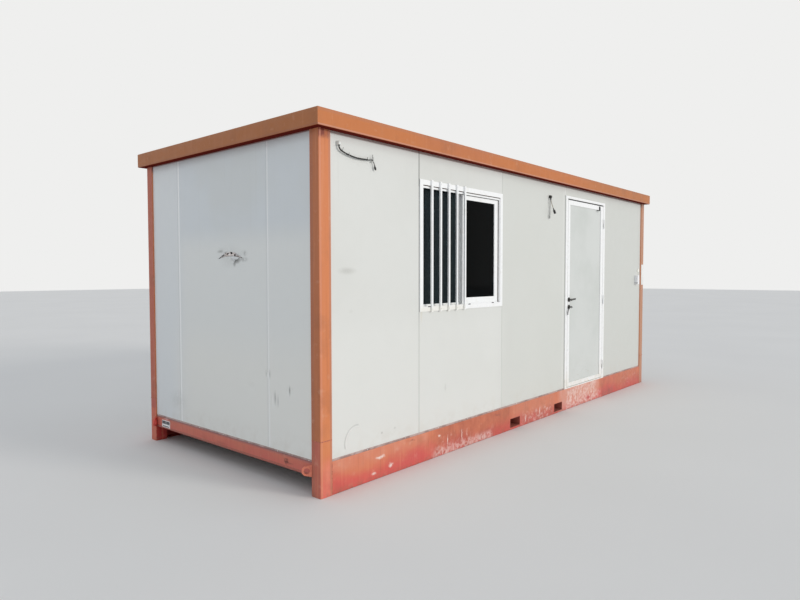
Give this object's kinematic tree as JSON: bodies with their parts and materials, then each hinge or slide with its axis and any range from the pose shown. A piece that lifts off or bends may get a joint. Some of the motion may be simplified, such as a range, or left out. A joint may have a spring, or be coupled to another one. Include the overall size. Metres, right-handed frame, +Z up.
{
  "type": "portable site cabin",
  "caption": "Long box-shaped site cabin: folded steel frame with a gutter edge, sandwich panel walls, barred sliding window, outward door, fork pockets and lashing lugs.",
  "frame": {"origin": "on the ground under the centre of the cabin", "axes": "+X along the long wall, from the window's end to the door's end; the wall with the window and door faces -Y; +Z up"},
  "size_m": [6.058, 2.438, 2.591],
  "materials": {
    "frame_paint": "weathered red oxide paint",
    "wall_skin": "coated sheet, satin",
    "white_frame": "white gloss paint",
    "door_skin": "coated sheet, satin",
    "window_glass": "dark clear glass",
    "galvanised": "zinc coated",
    "floor_board": "sealed board",
    "dark_fitting": "matt",
    "grey_fitting": "matt",
    "bright_metal": "satin",
    "dark_sheath": "matt cable sheath",
    "grey_sheath": "matt cable sheath",
    "beige_sheath": "matt cable sheath"
  },
  "bodies": {
    "cabin": {"back_wall_panels": "wall_skin", "base_flashing": "white_frame", "base_rails": "frame_paint", "beige_cable": "beige_sheath", "beige_cable_plug": "dark_fitting", "cable_fixings": "dark_fitting", "ceiling": "wall_skin", "corner_casings": "wall_skin", "corner_posts": "frame_paint", "door_frame": "white_frame", "door_hinges_frame_side": "white_frame", "end_beams": "frame_paint", "floor_deck": "floor_board", "floor_joists": "galvanised", "fork_pockets": "frame_paint", "front_panel_left": "wall_skin", "front_panel_middle": "wall_skin", "front_panel_right": "wall_skin", "front_panel_window": "wall_skin", "front_panels_at_door": "wall_skin", "grey_cable": "grey_sheath", "grey_cable_plug": "grey_fitting", "lashing_lugs": "frame_paint", "left_cable": "dark_sheath", "left_cable_plug": "dark_fitting", "left_end_panel_back": "wall_skin", "left_end_panel_front": "wall_skin", "left_end_panel_middle": "wall_skin", "right_end_panels": "wall_skin", "roof_beam_back": "frame_paint", "roof_beam_front": "frame_paint", "roof_beam_left": "frame_paint", "roof_beam_right": "frame_paint", "roof_purlins": "galvanised", "roof_sheet": "galvanised", "wall_fittings": "grey_fitting", "window_bars": "white_frame", "window_fixed_frame": "white_frame", "window_frame": "white_frame", "window_panes": "window_glass", "window_sash": "white_frame"},
    "door": {"door_leaf_frame": "white_frame", "door_leaf_panel": "door_skin", "door_hinges_leaf_side": "white_frame", "door_roses": "bright_metal", "key_and_fob": "dark_fitting", "door_stay": "dark_fitting"},
    "lever": {"door_lever": "bright_metal"}
  },
  "joints": [
    {"name": "door_hinge", "type": "hinge", "parent": "cabin", "child": "door", "pos_m": [1.60375, -1.172, 1.2], "axis": [0, 0, 1], "range_deg": [0, 110]},
    {"name": "lever_turn", "type": "hinge", "parent": "door", "child": "lever", "pos_m": [0.6905, -1.142, 1.226], "axis": [0, 1, 0], "range_deg": [0, 40], "stiffness_Nm_per_rad": 1, "springref_deg": -14.32}
  ]
}
